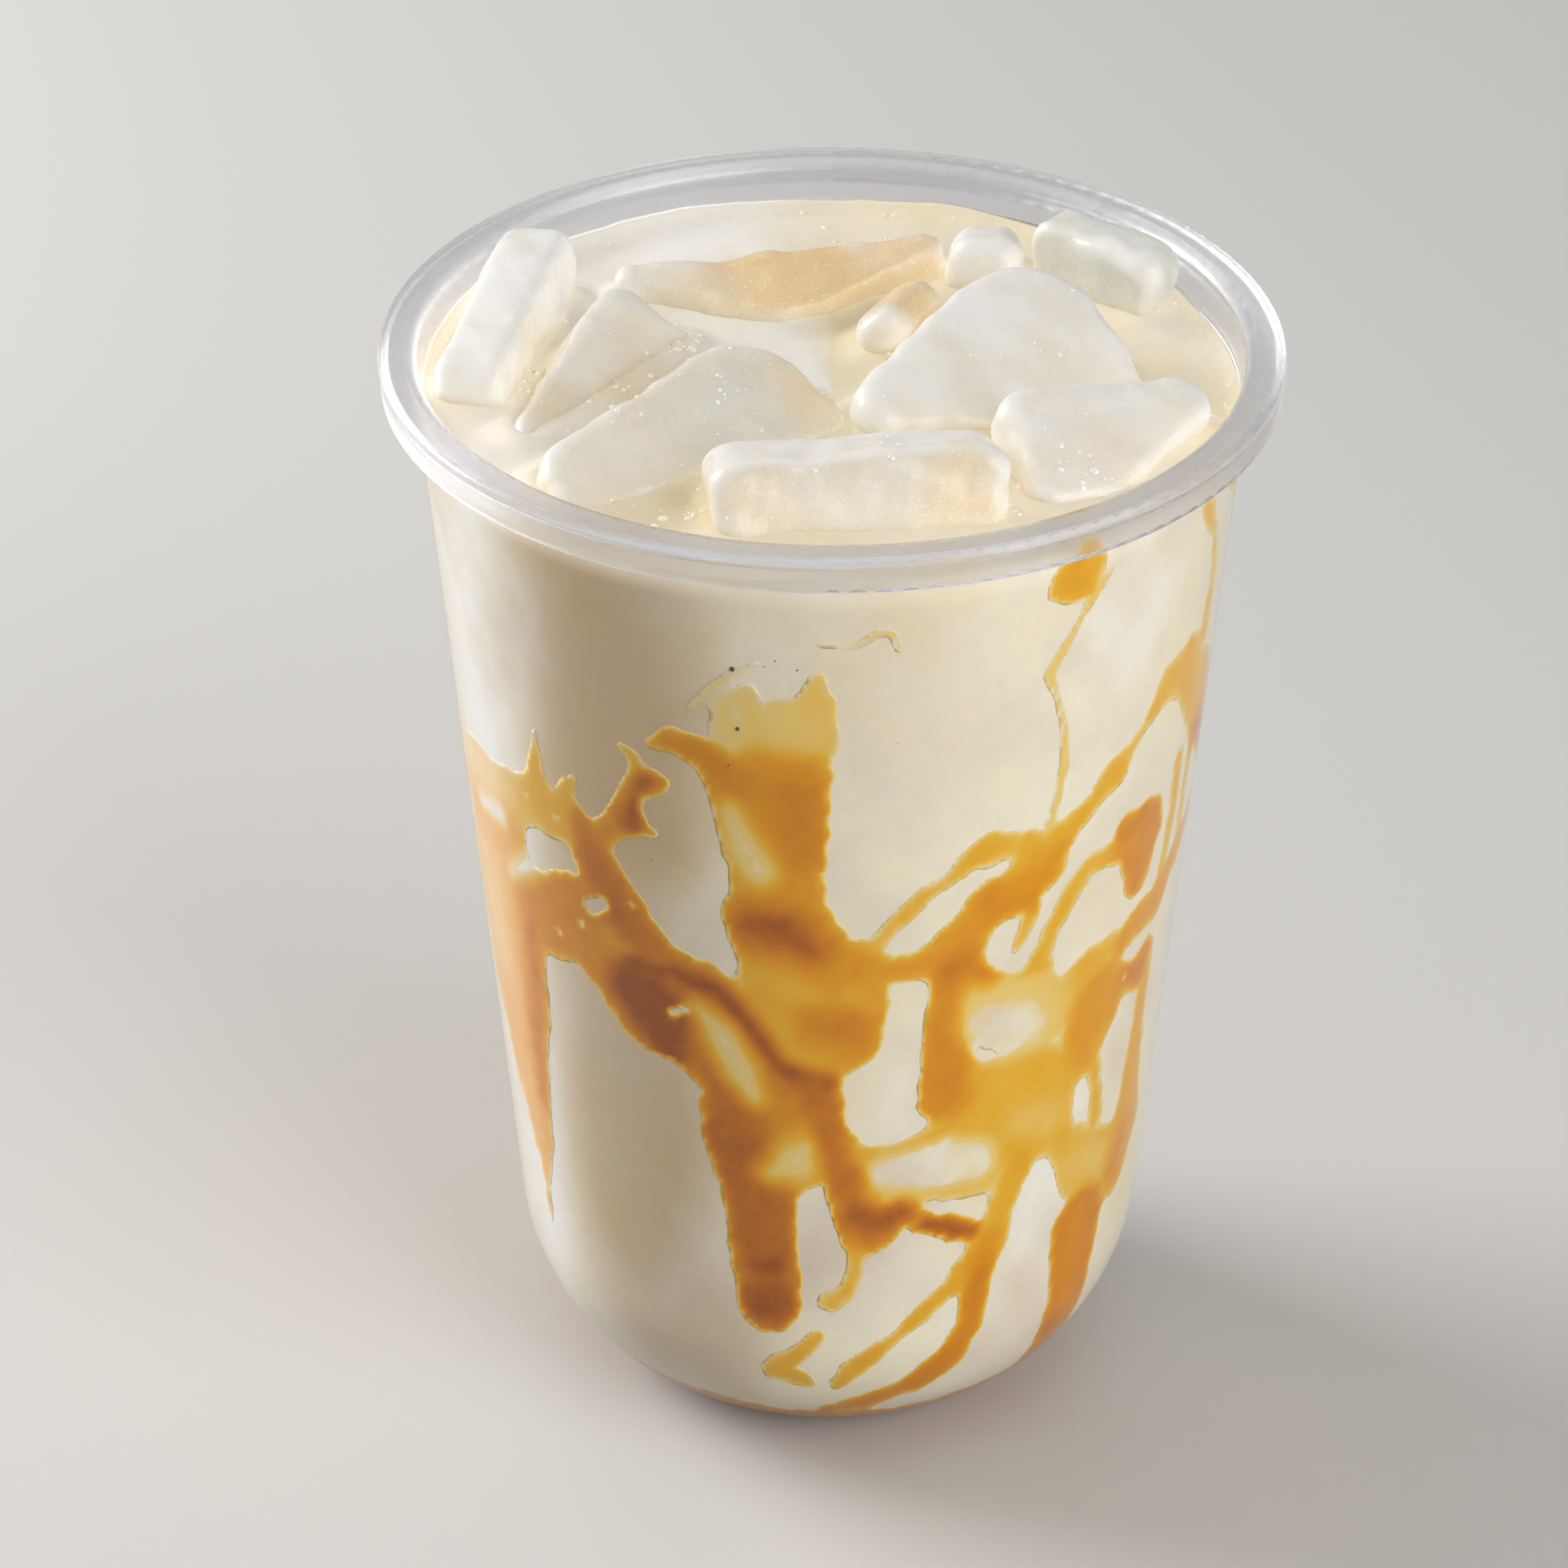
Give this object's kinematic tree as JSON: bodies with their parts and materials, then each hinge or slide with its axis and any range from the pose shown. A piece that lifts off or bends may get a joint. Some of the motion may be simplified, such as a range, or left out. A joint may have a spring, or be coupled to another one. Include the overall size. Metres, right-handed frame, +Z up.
{
  "type": "iced caramel latte",
  "caption": "Iced milky coffee in a clear tapered cup with a hooked rim, lumps of ice floating at the top and caramel sauce run down inside the wall.",
  "frame": {"origin": "centre of the foot ring, on the surface that the cup stands on", "axes": "+Z up along the cup's axis; -Y is the shown side, +X to its right"},
  "size_m": [0.095, 0.095, 0.1286],
  "materials": {
    "clear_plastic": "clear moulded polypropylene, glossy",
    "milky_coffee": "opaque milky coffee, cream to beige, wet",
    "caramel_sauce": "thick amber sauce, glossy, darker where deep",
    "cloudy_ice": "half-melted ice under a film of milk, frosted and wet"
  },
  "bodies": {
    "root": {"cup": "clear_plastic", "latte": "milky_coffee", "caramel_pool": "caramel_sauce", "ice_front": "cloudy_ice", "ice_right_front": "cloudy_ice", "ice_middle_right": "cloudy_ice", "ice_left_front": "cloudy_ice", "ice_left_middle": "cloudy_ice", "ice_left": "cloudy_ice", "ice_back": "cloudy_ice", "ice_small": "cloudy_ice", "ice_far_back": "cloudy_ice", "ice_right_back": "cloudy_ice"}
  },
  "joints": []
}
